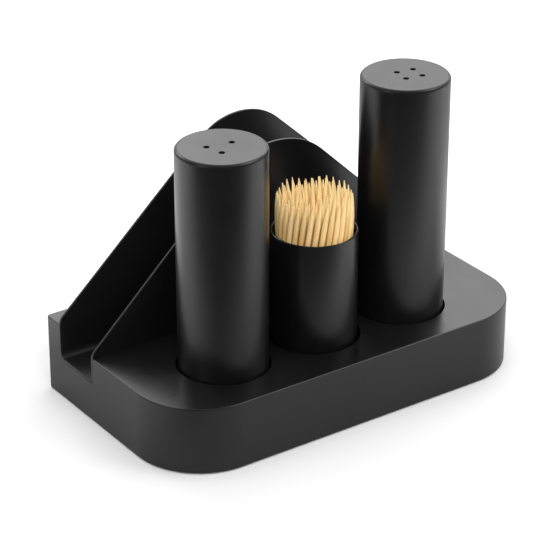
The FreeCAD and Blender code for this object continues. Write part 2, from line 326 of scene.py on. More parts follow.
def drawn_can(solid: Piece, closed: float, wall: float, end_round: float, segments: int) -> None:
    """Turns a solid drum into a thin can, open at one end and rounded at the other.

    Args:
        solid: The drum, shaped in place.
        closed: 1 when the top stays closed, -1 when the foot does.
        wall: The can's wall, grown inwards.
        end_round: The round between the closed end and the side.
        segments: How many flats that round has.
    """
    edit(solid)
    pick(solid, "FACE", lambda face: face.normal.z * closed < -FACING)
    bpy.ops.mesh.delete(type="ONLY_FACE")
    pick(solid, "FACE", lambda face: face.normal.z * closed > FACING)
    bpy.ops.mesh.region_to_loop()
    ease(end_round, segments)
    leave_edit()
    thicken(solid, wall, -1.0)


# Finishes


def fresh_material(name: str) -> tuple[bpy.types.Material, Tree, bpy.types.Node]:
    """Makes an empty node material with a Principled shader wired to its output.

    Args:
        name: The material's name.

    Returns:
        The material, its node tree and the shader node.
    """
    made = bpy.data.materials.new(name)
    made.use_nodes = True
    tree = made.node_tree
    tree.nodes.clear()
    output = tree.nodes.new("ShaderNodeOutputMaterial")
    shader = tree.nodes.new("ShaderNodeBsdfPrincipled")
    tree.links.new(shader.outputs["BSDF"], output.inputs["Surface"])
    return made, tree, shader


def object_place(tree: Tree, scale: Point = (1.0, 1.0, 1.0)) -> Socket:
    """Gives the object coordinates of a surface, scaled along each axis.

    Args:
        tree: The material's node tree.
        scale: The stretch of the pattern, as repeats per metre.

    Returns:
        The socket that carries the scaled place.
    """
    coordinates = tree.nodes.new("ShaderNodeTexCoord")
    mapping = tree.nodes.new("ShaderNodeMapping")
    mapping.inputs["Scale"].default_value = scale
    tree.links.new(coordinates.outputs["Object"], mapping.inputs["Vector"])
    return mapping.outputs["Vector"]


def noise(tree: Tree, place: Socket, scale: float, detail: float, rough: float = 0.5) -> Socket:
    """Adds a noise pattern.

    Args:
        tree: The material's node tree.
        place: The coordinates it is read at.
        scale: Its cells per unit of place.
        detail: How many finer layers it has.
        rough: How strong the finer layers are.

    Returns:
        The socket with the pattern's value, about 0.3 to 0.7.
    """
    node = tree.nodes.new("ShaderNodeTexNoise")
    node.inputs["Scale"].default_value = scale
    node.inputs["Detail"].default_value = detail
    node.inputs["Roughness"].default_value = rough
    tree.links.new(place, node.inputs["Vector"])
    return node.outputs["Fac"]


def spread(tree: Tree, value: Socket, source: Span, target: Span) -> Socket:
    """Maps a value from one range to another, clamped.

    Args:
        tree: The node tree.
        value: The socket to map.
        source: The range the value has.
        target: The range it gets.

    Returns:
        The mapped socket.
    """
    node = tree.nodes.new("ShaderNodeMapRange")
    node.inputs["From Min"].default_value = source[0]
    node.inputs["From Max"].default_value = source[1]
    node.inputs["To Min"].default_value = target[0]
    node.inputs["To Max"].default_value = target[1]
    tree.links.new(value, node.inputs["Value"])
    return node.outputs["Result"]


def ramp(tree: Tree, value: Socket, stops: Sequence[tuple[float, Point]]) -> Socket:
    """Turns a value into a colour.

    Args:
        tree: The node tree.
        value: The socket that picks the colour.
        stops: Two places from 0 to 1 with their linear colours.

    Returns:
        The colour socket.
    """
    node = tree.nodes.new("ShaderNodeValToRGB")
    for element, (place, colour) in zip(node.color_ramp.elements, stops):
        element.position = place
        element.color = (*colour, 1.0)
    tree.links.new(value, node.inputs["Fac"])
    return node.outputs["Color"]


def combine(tree: Tree, operation: str, *values: Socket | float) -> Socket:
    """Works out one value from others.

    Args:
        tree: The node tree.
        operation: How, such as "MULTIPLY".
        values: What goes in, as sockets or numbers.

    Returns:
        The socket with the result.
    """
    node = tree.nodes.new("ShaderNodeMath")
    node.operation = operation
    for entry, value in zip(node.inputs, values):
        if isinstance(value, Socket):
            tree.links.new(value, entry)
        else:
            entry.default_value = value
    return node.outputs["Value"]


def along(tree: Tree, place: Socket, way: Point) -> Socket:
    """Gives how far a place lies along a direction from the origin.

    Args:
        tree: The node tree.
        place: The socket with the place.
        way: The direction.

    Returns:
        The socket with the distance.
    """
    node = tree.nodes.new("ShaderNodeVectorMath")
    node.operation = "DOT_PRODUCT"
    node.inputs[1].default_value = way
    tree.links.new(place, node.inputs[0])
    return node.outputs["Value"]


def bump(
    tree: Tree, shader: bpy.types.Node, height: Socket, strength: float, distance: float
) -> None:
    """Wires a height pattern to the shader's normal.

    Args:
        tree: The material's node tree.
        shader: The surface shader.
        height: The pattern.
        strength: How much of it shows.
        distance: The height of the pattern in metres.
    """
    node = tree.nodes.new("ShaderNodeBump")
    node.inputs["Strength"].default_value = strength
    node.inputs["Distance"].default_value = distance
    tree.links.new(height, node.inputs["Height"])
    tree.links.new(node.outputs["Normal"], shader.inputs["Normal"])


@dataclass(frozen=True)
class BlackFinish:
    """A satin black surface: a soft grain in its gloss, faint clouds and a fine bump.

    Each pattern has its cells per metre, its finer layers and their strength.
    """

    CLOUDS = (28.0, 3.0)
    HANDLED = (55.0, 4.0, 0.6)
    GRAIN_DETAIL = 2.0
    CLOUD_RANGE = (0.35, 0.65)

    name: str
    dark: Point
    light: Point
    gloss: Span
    grain: float
    grain_height: float
    grain_strength: float
    specular: float

    def make(self) -> bpy.types.Material:
        """Builds the material.

        Returns:
            The finished material.
        """
        material, tree, shader = fresh_material(self.name)
        place = object_place(tree)
        clouds = spread(tree, noise(tree, place, *self.CLOUDS), self.CLOUD_RANGE, ALL)
        colour = ramp(tree, clouds, [(0.0, self.dark), (1.0, self.light)])
        tree.links.new(colour, shader.inputs["Base Color"])
        gloss = spread(tree, noise(tree, place, *self.HANDLED), MOST_NOISE, self.gloss)
        tree.links.new(gloss, shader.inputs["Roughness"])
        shader.inputs["Specular IOR Level"].default_value = self.specular
        fine = noise(tree, place, self.grain, self.GRAIN_DETAIL)
        bump(tree, shader, fine, self.grain_strength, self.grain_height)
        return material


@dataclass(frozen=True)
class SteelFinish:
    """Plain zinc-coated steel with a fine turned grain."""

    SHADE = 0.72
    MOTTLE = (420.0, 3.0)
    STREAKS = (900.0, 2.0)
    STREAK_STRETCH = (1.0, 1.0, 9.0)
    STREAK_STRENGTH = 0.15
    STREAK_HEIGHT = 0.03 * MM

    name: str
    tone: Point
    gloss: Span

    def make(self) -> bpy.types.Material:
        """Builds the material.

        Returns:
            The finished material.
        """
        material, tree, shader = fresh_material(self.name)
        shader.inputs["Metallic"].default_value = 1.0
        shade = tuple(self.SHADE * channel for channel in self.tone)
        mottle = noise(tree, object_place(tree), *self.MOTTLE)
        colour = ramp(tree, mottle, [(0.35, shade), (0.65, self.tone)])
        tree.links.new(colour, shader.inputs["Base Color"])
        streaks = noise(tree, object_place(tree, self.STREAK_STRETCH), *self.STREAKS)
        gloss = spread(tree, streaks, MOST_NOISE, self.gloss)
        tree.links.new(gloss, shader.inputs["Roughness"])
        bump(tree, shader, streaks, self.STREAK_STRENGTH, self.STREAK_HEIGHT)
        return material


@dataclass(frozen=True)
class WoodFinish:
    """Bare turned wood: pale cut points, golden shafts, each stick with a tone of its own.

    The lengths are in millimetres, as the sticks' own length attribute is.
    """

    FIBRES = (1400.0, 3.0, 0.6)
    FIBRE_STRETCH = (1.0, 1.0, 0.05)
    FIBRE_SHARE = 0.55
    MIX_RANGE = (0.15, 1.15)
    POINT_FADE = (1.35, 0.1)
    GLOSS = (0.62, 0.5)
    SPECULAR = 0.35
    GLOW = 0.05
    GLOW_REACH = (0.6 * MM, 0.35 * MM, 0.15 * MM)
    FIBRE_STRENGTH = 0.35
    FIBRE_HEIGHT = 0.05 * MM

    name: str
    golden: Point
    pale: Point
    point: Point
    tone_attribute: str
    along_attribute: str
    stick_length: float
    point_length: float

    def attribute(self, tree: Tree, name: str) -> Socket:
        """Reads one of the sticks' attributes.

        Args:
            tree: The material's node tree.
            name: The attribute's name.

        Returns:
            The socket with its value.
        """
        node = tree.nodes.new("ShaderNodeAttribute")
        node.attribute_name = name
        return node.outputs["Fac"]

    def make(self) -> bpy.types.Material:
        """Builds the material.

        Returns:
            The finished material.
        """
        material, tree, shader = fresh_material(self.name)
        tone = self.attribute(tree, self.tone_attribute)
        fibres = noise(tree, object_place(tree, self.FIBRE_STRETCH), *self.FIBRES)
        mixed = combine(tree, "MULTIPLY_ADD", fibres, self.FIBRE_SHARE, tone)
        shade = spread(tree, mixed, self.MIX_RANGE, ALL)
        body = ramp(tree, shade, [(0.0, self.golden), (1.0, self.pale)])
        tipped = tree.nodes.new("ShaderNodeMix")
        tipped.data_type = "RGBA"
        fade = tuple(self.stick_length - share * self.point_length for share in self.POINT_FADE)
        near_tip = spread(tree, self.attribute(tree, self.along_attribute), fade, ALL)
        tree.links.new(near_tip, tipped.inputs["Factor"])
        tree.links.new(body, tipped.inputs["A"])
        tipped.inputs["B"].default_value = (*self.point, 1.0)
        tree.links.new(tipped.outputs["Result"], shader.inputs["Base Color"])
        tree.links.new(spread(tree, fibres, MOST_NOISE, self.GLOSS), shader.inputs["Roughness"])
        shader.inputs["Specular IOR Level"].default_value = self.SPECULAR
        shader.inputs["Subsurface Weight"].default_value = self.GLOW
        shader.inputs["Subsurface Radius"].default_value = self.GLOW_REACH
        shader.inputs["Subsurface Scale"].default_value = 1.0
        bump(tree, shader, fibres, self.FIBRE_STRENGTH, self.FIBRE_HEIGHT)
        return material


class Slot(Enum):
    """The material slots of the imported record."""

    PLASTIC = "black_plastic"
    COATED = "black_coated_steel"
    RUBBER = "soft_rubber"
    STEEL = "steel"
    WOOD = "pale_wood"


@dataclass
class Paints:
    """The set's finishes, made once and shared by its pieces."""

    stick_length: float
    point_length: float
    made: dict[Slot, bpy.types.Material] = field(default_factory=dict)

    def build(self) -> "Paints":
        """Makes every finish.

        Returns:
            This object, filled.
        """
        finishes = {
            Slot.PLASTIC: BlackFinish(
                name="moulded_black",
                dark=(0.0035, 0.0035, 0.0038),
                light=(0.0055, 0.0055, 0.006),
                gloss=(0.27, 0.34),
                grain=2600.0,
                grain_height=0.02 * MM,
                grain_strength=0.1,
                specular=0.5,
            ),
            Slot.COATED: BlackFinish(
                name="coated_black",
                dark=(0.0032, 0.0032, 0.0035),
                light=(0.005, 0.005, 0.0054),
                gloss=(0.28, 0.34),
                grain=3400.0,
                grain_height=0.012 * MM,
                grain_strength=0.25,
                specular=0.44,
            ),
            Slot.RUBBER: BlackFinish(
                name="soft_black_rubber",
                dark=(0.014, 0.014, 0.014),
                light=(0.024, 0.024, 0.023),
                gloss=(0.7, 0.86),
                grain=1500.0,
                grain_height=0.05 * MM,
                grain_strength=0.5,
                specular=0.35,
            ),
            Slot.STEEL: SteelFinish("zinc_steel", tone=(0.56, 0.57, 0.58), gloss=(0.24, 0.42)),
            Slot.WOOD: WoodFinish(
                name="turned_birch",
                golden=(0.66, 0.39, 0.12),
                pale=(0.88, 0.63, 0.30),
                point=(0.80, 0.62, 0.32),
                tone_attribute=ToothpickBundle.TONE,
                along_attribute=ToothpickBundle.ALONG,
                stick_length=self.stick_length / MM,
                point_length=self.point_length / MM,
            ),
        }
        for slot, finish in finishes.items():
            self.made[slot] = finish.make()
        return self

    def coat(self, piece: Piece, slot: Slot) -> None:
        """Gives a piece one of the finishes.

        Args:
            piece: The object to paint.
            slot: Which finish it takes.
        """
        piece.data.materials.clear()
        piece.data.materials.append(self.made[slot])


# Sub-assemblies


@dataclass
class PackedPieces:
    """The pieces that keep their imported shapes.

    They are the moulding with its cover, screws, feet and nuts, and the
    shakers' base rings and stoppers.
    """

    finishes: dict[str, Slot] = field(
        default_factory=lambda: {
            "base_shell": Slot.PLASTIC,
            "base_cover": Slot.PLASTIC,
            "cover_screws": Slot.STEEL,
            "front_left_foot": Slot.RUBBER,
            "front_right_foot": Slot.RUBBER,
            "rear_left_foot": Slot.RUBBER,
            "rear_right_foot": Slot.RUBBER,
            "front_plate_nuts": Slot.STEEL,
            "rear_plate_nuts": Slot.STEEL,
            "pepper_base_ring": Slot.PLASTIC,
            "salt_base_ring": Slot.PLASTIC,
            "pepper_stopper": Slot.RUBBER,
            "salt_stopper": Slot.RUBBER,
        }
    )

    def dress(self, nodes: dict[str, Piece], paints: Paints) -> None:
        """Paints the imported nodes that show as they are.

        Args:
            nodes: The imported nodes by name.
            paints: The set's finishes.
        """
        for name, slot in self.finishes.items():
            paints.coat(nodes[name], slot)
            LOG.info("dressed %s as %s", name, slot.value)


@dataclass
class NapkinPlate:
    """One sheet plate: square ends, sloping shoulders, a round apex and eased edges."""

    APEX_SEGMENTS = 40
    CORNER_SEGMENTS = 10
    BEND_STEPS = 10
    EASE_SEGMENTS = 2
    SHARP_DEG = 50.0
    SMOOTH_DEG = 35.0
    STUD_SIDES = 32
    STUD_CHAMFER = 0.3 * MM

    name: str
    node: str
    face_y: float
    bottom_z: float
    corner_z: float
    studs: list[tuple[Point, Point]]
    apex_radius: float
    half_length: float = 73.2 * MM
    thickness: float = 1.0 * MM
    rise: float = 58.7 * MM
    corner_radius: float = 4.5 * MM
    flange_to_y: float | None = None
    bend_radius: float = 2.5 * MM
    stud_radius: float = 1.5 * MM
    edge_ease: float = 0.16 * MM

    def slope(self) -> float:
        """Works out the slope of the straight shoulders, tangent to the apex.

        Returns:
            Their angle above the horizon.
        """
        drop = self.rise - self.apex_radius
        reach = math.hypot(self.half_length, drop)
        return math.atan2(drop, self.half_length) + math.asin(self.apex_radius / reach)

    def outline(self) -> Piece:
        """Shapes the upright face of the sheet out of a plane.

        Returns:
            The flat face, facing the slot.
        """
        drop_selection()
        mid_z = (self.bottom_z + self.corner_z) / 2
        bpy.ops.mesh.primitive_plane_add(
            size=1.0, location=(0.0, self.face_y, mid_z), rotation=(math.pi / 2, 0.0, 0.0)
        )
        sheet = bpy.context.object
        sheet.scale = (2 * self.half_length, self.corner_z - self.bottom_z, 1.0)
        settle(sheet)
        edit(sheet)
        corner_z = self.corner_z
        pick(sheet, "EDGE", lambda edge: level(edge, corner_z))
        bpy.ops.mesh.subdivide(number_cuts=1)
        slope = self.slope()
        peak = self.half_length * math.tan(slope)
        pick(sheet, "VERT", lambda v: abs(v.co.x) < SAME and abs(v.co.z - corner_z) < SAME)
        bpy.ops.transform.translate(value=(0.0, 0.0, peak))
        pick(sheet, "VERT", lambda v: v.co.z > corner_z + peak / 2)
        round_corners(self.apex_radius * math.tan(slope), self.APEX_SEGMENTS)
        pick(sheet, "VERT", lambda v: abs(v.co.z - corner_z) < SAME)
        run = self.corner_radius * math.tan((math.pi / 2 - slope) / 2)
        round_corners(run, self.CORNER_SEGMENTS)
        leave_edit()
        return sheet

    def bend_foot(self, sheet: Piece) -> None:
        """Turns the sheet's foot forward to a flange on the slot's floor.

        Args:
            sheet: The upright face, shaped in place.
        """
        bend_y = self.face_y - self.bend_radius
        floor_z = self.bottom_z - self.bend_radius
        edit(sheet)
        pick(sheet, "EDGE", lambda edge: level(edge, self.bottom_z))
        centre = (0.0, bend_y, self.bottom_z)
        bpy.ops.mesh.spin(
            steps=self.BEND_STEPS, angle=math.pi / 2, center=centre, axis=(1.0, 0.0, 0.0)
        )
        pick(
            sheet,
            "EDGE",
            lambda edge: level(edge, floor_z, NEARLY_SAME)
            and all(vert.co.y < bend_y + NEARLY_SAME for vert in edge.verts),
        )
        way = (0.0, self.flange_to_y - bend_y, 0.0)
        bpy.ops.mesh.extrude_region_move(TRANSFORM_OT_translate={"value": way})
        leave_edit()

    def solid_side(self, sheet: Piece) -> float:
        """Finds the side on which the sheet gets its thickness: away from the drawn face.

        Args:
            sheet: The open sheet.

        Returns:
            -1 or 1, against or along the sheet's normals.
        """
        upright = max(sheet.data.polygons, key=lambda face: face.area)
        wanted = 1.0 if self.flange_to_y is not None else -1.0
        return 1.0 if upright.normal.y * wanted > 0 else -1.0

    def stud(self, root: Point, end: Point) -> Piece:
        """Makes one welded stud with a chamfered end.

        Args:
            root: Where it meets the sheet.
            end: Its free end.

        Returns:
            The stud.
        """
        start, finish = Vector(root), Vector(end)
        way = finish - start
        drop_selection()
        bpy.ops.mesh.primitive_cylinder_add(
            vertices=self.STUD_SIDES,
            radius=self.stud_radius,
            depth=way.length,
            location=(start + finish) / 2,
            rotation=way.to_track_quat("Z", "Y").to_euler(),
        )
        made = bpy.context.object
        settle(made)
        edit(made)
        ahead = way.normalized()
        pick(made, "FACE", lambda face: face.normal.dot(ahead) > FACING)
        ease(self.STUD_CHAMFER, 1)
        leave_edit()
        return made

    def build(self, paints: Paints, body: str) -> Piece:
        """Makes the finished plate with its welded studs.

        Args:
            paints: The set's finishes.
            body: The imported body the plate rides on.

        Returns:
            The plate.
        """
        sheet = self.outline()
        if self.flange_to_y is not None:
            self.bend_foot(sheet)
        thicken(sheet, self.thickness, self.solid_side(sheet), even=True)
        eased = sheet.modifiers.new("eased", "BEVEL")
        eased.width = self.edge_ease
        eased.segments = self.EASE_SEGMENTS
        eased.limit_method = "ANGLE"
        eased.angle_limit = math.radians(self.SHARP_DEG)
        apply_modifiers(sheet)
        plate = join([sheet] + [self.stud(*ends) for ends in self.studs], self.name)
        smooth(plate, self.SMOOTH_DEG)
        paints.coat(plate, Slot.COATED)
        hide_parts(self.node)
        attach(plate, body)
        LOG.info("built %s with %d studs", self.name, len(self.studs))
        return plate


@dataclass
class Shaker:
    """One shaker body: a drawn tube with a closed, gently rounded top and pouring holes."""

    TOP_SEGMENTS = 8
    FOOT_EASE = 0.2 * MM
    EASE_SEGMENTS = 2
    SMOOTH_DEG = 30.0
    HOLE_SIDES = 32
    RIM_SLACK = 0.05 * MM

    name: str
    node: str
    axis_x: float
    height: float
    holes: list[Span]
    axis_y: float = ROW_Y
    foot_z: float = SEAT_Z
    radius: float = 15.0 * MM
    wall: float = 1.0 * MM
    top_round: float = 1.2 * MM
    hole_radius: float = 1.0 * MM
    hole_ease: float = 0.12 * MM

    def build(self, paints: Paints, body: str) -> Piece:
        """Makes the finished body.

        Args:
            paints: The set's finishes.
            body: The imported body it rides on.

        Returns:
            The shaker body.
        """
        top = self.foot_z + self.height
        tube = drum(self.radius, self.foot_z, top, self.axis_x, self.axis_y, FINE_SIDES)
        drawn_can(tube, 1.0, self.wall, self.top_round, self.TOP_SEGMENTS)
        edit(tube)
        pick(
            tube,
            "EDGE",
            lambda edge: level(edge, self.foot_z) and runs_round(edge, self.axis_x, self.axis_y),
        )
        ease(self.FOOT_EASE, self.EASE_SEGMENTS)
        leave_edit()
        self.bore(tube, top)
        rename(tube, self.name)
        smooth(tube, self.SMOOTH_DEG)
        flat_top = tube.modifiers.new("flat_top", "WEIGHTED_NORMAL")
        flat_top.mode = "FACE_AREA"
        flat_top.weight = 100
        flat_top.keep_sharp = True
        apply_modifiers(tube)
        paints.coat(tube, Slot.COATED)
        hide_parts(self.node)
        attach(tube, body)
        LOG.info("built %s with %d pouring holes", self.name, len(self.holes))
        return tube

    def on_rim(self, edge: bmesh.types.BMEdge, x: float, y: float) -> bool:
        """Says whether an edge is part of a hole's rim.

        Args:
            edge: The edge.
            x: The hole's place along X.
            y: The hole's place along Y.

        Returns:
            True when it is short and both its ends lie on the hole's circle.
        """
        short = edge.calc_length() < self.hole_radius + self.RIM_SLACK
        off = [abs(reach - self.hole_radius) for reach in reaches(edge, x, y)]
        return short and max(off) < self.RIM_SLACK

    def bore(self, tube: Piece, top: float) -> None:
        """Cuts the pouring holes and eases their rims.

        Args:
            tube: The closed tube.
            top: The height of its flat top.
        """
        centres = [(self.axis_x + dx, self.axis_y + dy) for dx, dy in self.holes]
        low, high = top - 4 * self.wall, top + self.wall
        drills = [drum(self.hole_radius, low, high, x, y, self.HOLE_SIDES) for x, y in centres]
        drill = join(drills, "drill")
        cut = tube.modifiers.new("holes", "BOOLEAN")
        cut.operation = "DIFFERENCE"
        cut.solver = "EXACT"
        cut.object = drill
        apply_modifiers(tube)
        bpy.data.objects.remove(drill)
        edit(tube)
        pick(
            tube,
            "EDGE",
            lambda edge: level(edge, top) and any(self.on_rim(edge, x, y) for x, y in centres),
        )
        ease(self.hole_ease, self.EASE_SEGMENTS)
        leave_edit()


@dataclass
class ToothpickCup:
    """The cup: a thin drawn wall, a rounded foot and a polished rim."""

    FOOT_SEGMENTS = 6
    RIM_SEGMENTS = 4
    SMOOTH_DEG = 40.0

    name: str = "cup_wall"
    node: str = "toothpick_cup"
    axis_x: float = CUP_X
    axis_y: float = ROW_Y
    foot_z: float = SEAT_Z
    height: float = 53.7 * MM
    radius: float = 14.6 * MM
    wall: float = 0.8 * MM
    foot_round: float = 1.0 * MM
    rim_round: float = 0.36 * MM

    def build(self, paints: Paints, body: str) -> Piece:
        """Makes the finished cup.

        Args:
            paints: The set's finishes.
            body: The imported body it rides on.

        Returns:
            The cup.
        """
        top = self.foot_z + self.height
        cup = drum(self.radius, self.foot_z, top, self.axis_x, self.axis_y, FINE_SIDES)
        drawn_can(cup, -1.0, self.wall, self.foot_round, self.FOOT_SEGMENTS)
        edit(cup)
        pick(
            cup,
            "EDGE",
            lambda edge: level(edge, top) and runs_round(edge, self.axis_x, self.axis_y),
        )
        ease(self.rim_round, self.RIM_SEGMENTS)
        leave_edit()
        rename(cup, self.name)
        smooth(cup, self.SMOOTH_DEG)
        paints.coat(cup, Slot.COATED)
        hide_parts(self.node)
        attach(cup, body)
        LOG.info("built %s", self.name)
        return cup


@dataclass
class ToothpickBundle:
    """The sticks in the cup: rings that all lean the same way round, as a handful settles.

    POINT_PROFILE gives the width of a point as shares of the shaft's radius, at
    shares of the point's length. The turns set how far neighbours differ.
    """

    TONE = "stick_tone"
    ALONG = "stick_along"
    POINT_PROFILE = ((0.28, 0.86), (0.58, 0.62), (0.84, 0.34))
    SMOOTH_DEG = 60.0
    RAGGED_TURN = 7.3
    SPIN_TURN = 2.4
    TONE_TURNS = (12.9898, 4.1)

    name: str = "toothpick_sticks"
    node: str = "toothpicks"
    axis_x: float = CUP_X
    axis_y: float = ROW_Y
    floor_z: float = 10.3 * MM
    length: float = 65.0 * MM
    radius: float = 0.92 * MM
    point: float = 7.5 * MM
    tip_radius: float = 0.15 * MM
    outer_ring: float = 12.45 * MM
    ring_step: float = 2.22 * MM
    spacing: float = 2.2 * MM
    twist_deg: float = 40.0
    ragged: float = 1.6 * MM
    sides: int = 12

    def stick(self) -> Piece:
        """Models one stick, foot down, with long rounded points.

        Returns:
            The stick, standing on the origin.
        """
        made = drum(self.radius, self.point, self.length - self.point, 0.0, 0.0, self.sides)
        edit(made)
        for side, end in ((1, self.length - self.point), (-1, self.point)):
            pick(made, "FACE", lambda face, s=side: face.normal.z * s > FACING)
            past, width = 0.0, 1.0
            for share, slim in (*self.POINT_PROFILE, (1.0, self.tip_radius / self.radius)):
                step = (0.0, 0.0, (share - past) * self.point * side)
                bpy.ops.mesh.extrude_region_move(TRANSFORM_OT_translate={"value": step})
                middle = (0.0, 0.0, end + share * self.point * side)
                less = slim / width
                bpy.ops.transform.resize(value=(less, less, 1.0), center_override=middle)
                past, width = share, slim
        leave_edit()
        smooth(made, self.SMOOTH_DEG)
        return made

    def on_ring(self, ring: float, turn: float, rise: float) -> Vector:
        """Gives a place on one of the rings.

        Args:
            ring: The ring's radius.
            turn: The angle round the cup's axis.
            rise: The height above the cup's floor.

        Returns:
            The place.
        """
        x, y = self.axis_x + ring * math.cos(turn), self.axis_y + ring * math.sin(turn)
        return Vector((x, y, self.floor_z + rise))

    def places(self) -> Iterator[tuple[Vector, Vector]]:
        """Places the sticks, ring by ring from the outside.

        Yields:
            The foot and the top of each stick.
        """
        half = math.radians(self.twist_deg / 2)
        ring = self.outer_ring
        number = 0
        while ring > self.radius:
            chord = 2 * ring * math.sin(half)
            lean = math.atan2(chord, self.length)
            count = int(2 * math.pi * ring * math.cos(half) * math.cos(lean) / self.spacing)
            tall = math.sqrt(self.length**2 - chord**2)
            for index in range(count):
                turn = 2 * math.pi * index / count + ring / MM
                foot = self.on_ring(ring, turn - half, 0.0)
                top = self.on_ring(ring, turn + half, tall)
                share = 0.5 + 0.5 * math.sin(self.RAGGED_TURN * number)
                slide = (top - foot) * (self.ragged / self.length * share)
                number += 1
                yield foot + slide, top + slide
            ring -= self.ring_step

    def build(self, paints: Paints, body: str) -> Piece:
        """Copies the stick to its places and joins the copies.

        Args:
            paints: The set's finishes.
            body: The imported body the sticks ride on.

        Returns:
            The bundle.
        """
        pattern = self.stick()
        lengths = [vert.co.z / MM for vert in pattern.data.vertices]
        sticks = []
        for number, (foot, top) in enumerate(self.places()):
            mesh = pattern.data.copy()
            turned = (top - foot).normalized().to_track_quat("Z", "Y").to_matrix().to_4x4()
            spun = Matrix.Rotation(self.SPIN_TURN * number, 4, "Z")
            mesh.transform(Matrix.Translation(foot) @ turned @ spun)
            fast, slow = self.TONE_TURNS
            tone = 0.5 + 0.5 * math.sin(fast * (number + 1)) * math.cos(slow * number)
            for name, values in ((self.TONE, [tone] * len(lengths)), (self.ALONG, lengths)):
                attribute = mesh.attributes.new(name, "FLOAT", "POINT")
                attribute.data.foreach_set("value", values)
            copy = bpy.data.objects.new(f"stick_{number}", mesh)
            bpy.context.scene.collection.objects.link(copy)
            sticks.append(copy)
        bpy.data.objects.remove(pattern)
        bundle = join(sticks, self.name)
        paints.coat(bundle, Slot.WOOD)
        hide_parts(self.node)
        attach(bundle, body)
        LOG.info("built %s of %d sticks", self.name, len(sticks))
        return bundle


# Studio


@dataclass(frozen=True)
class Lamp:
    """One soft rectangular lamp that the camera doesn't see."""

    name: str
    place: Point
    aim: Point
    size: Span
    watts: float
    glossy: bool = True

    def build(self) -> Piece:
        """Adds the lamp to the scene.

        Returns:
            The lamp.
        """
        data = bpy.data.lights.new(self.name, "AREA")
        data.shape = "RECTANGLE"
        data.size, data.size_y = self.size
        data.energy = self.watts
        made = bpy.data.objects.new(self.name, data)
        bpy.context.scene.collection.objects.link(made)
        made.location = self.place
        way = Vector(self.aim) - Vector(self.place)
        made.rotation_euler = way.to_track_quat("-Z", "Y").to_euler()
        made.visible_camera = False
        made.visible_glossy = self.glossy
        return made


@dataclass(frozen=True)
class Fade:
    """A level that changes evenly over a stretch and stays as it is outside it."""

    over: Span
    levels: Span

    def read(self, tree: Tree, value: Socket) -> Socket:
        """Reads the level at a value.

        Args:
            tree: The node tree.
            value: The socket that says how far along the stretch a place is.

        Returns:
            The socket with the level.
        """
        return spread(tree, value, self.over, self.levels)


def seen_directly(tree: Tree, path: bpy.types.Node) -> Socket:
    """Says whether a ray comes from the camera, also through something clear.

    Args:
        tree: The node tree.
        path: The node that knows the ray.

    Returns:
        The socket, 1 when it does.
    """
    return combine(
        tree, "MAXIMUM", path.outputs["Is Camera Ray"], path.outputs["Is Transmission Ray"]
    )


